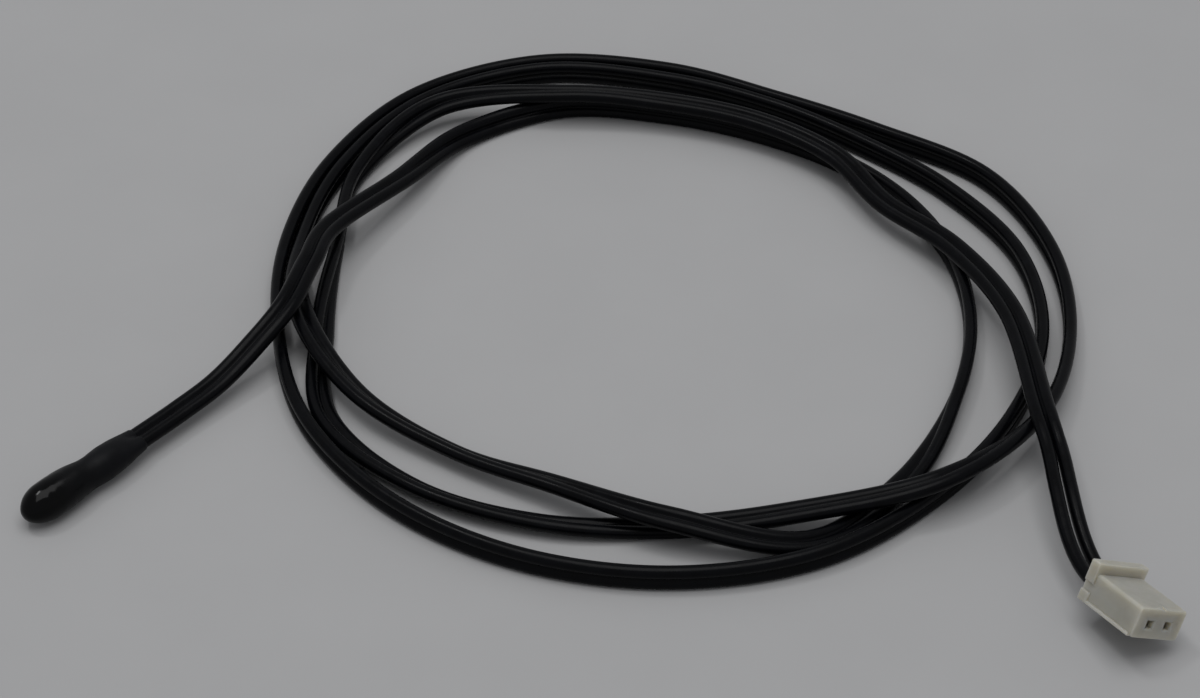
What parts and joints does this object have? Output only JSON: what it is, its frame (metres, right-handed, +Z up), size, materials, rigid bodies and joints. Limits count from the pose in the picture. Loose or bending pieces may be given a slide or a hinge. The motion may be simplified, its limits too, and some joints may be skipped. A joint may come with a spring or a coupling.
{
  "type": "temperature sensor probe",
  "caption": "Moulded temperature sensing tip on a coiled flat cable that ends in a small plug-in connector housing with crimped contacts.",
  "frame": {"origin": "middle of the tip moulding's length, on the surface it lies on", "axes": "+X along the tip from its rounded sensing end towards the cable exit, +Z up"},
  "size_m": [0.1171, 0.1243, 0.0077],
  "materials": {
    "tip_moulding": "satin, glossy at the rounded end",
    "cable_insulation": "satin",
    "housing_nylon": "satin, slightly translucent",
    "contact_sheet": "plain folded sheet",
    "conductor": "bare strands",
    "lead_wire": "plated wire",
    "solder": "bright",
    "sleeve": "satin tube",
    "coating": "dipped resin",
    "chip_ceramic": "sintered"
  },
  "bodies": {
    "root": {"tip_overmould": "tip_moulding", "thermistor_chip": "chip_ceramic", "bead_coating": "coating", "lead_wire_a": "lead_wire", "lead_wire_b": "lead_wire", "solder_joint_a": "solder", "solder_joint_b": "solder", "splice_sleeve_a": "sleeve", "splice_sleeve_b": "sleeve", "cable_end": "cable_insulation", "tip_conductor_a": "conductor", "tip_conductor_b": "conductor", "cable": "cable_insulation", "core_a": "cable_insulation", "core_b": "cable_insulation", "plug_conductor_a": "conductor", "plug_conductor_b": "conductor", "contact_a": "contact_sheet", "contact_b": "contact_sheet", "connector_housing": "housing_nylon"}
  },
  "joints": []
}
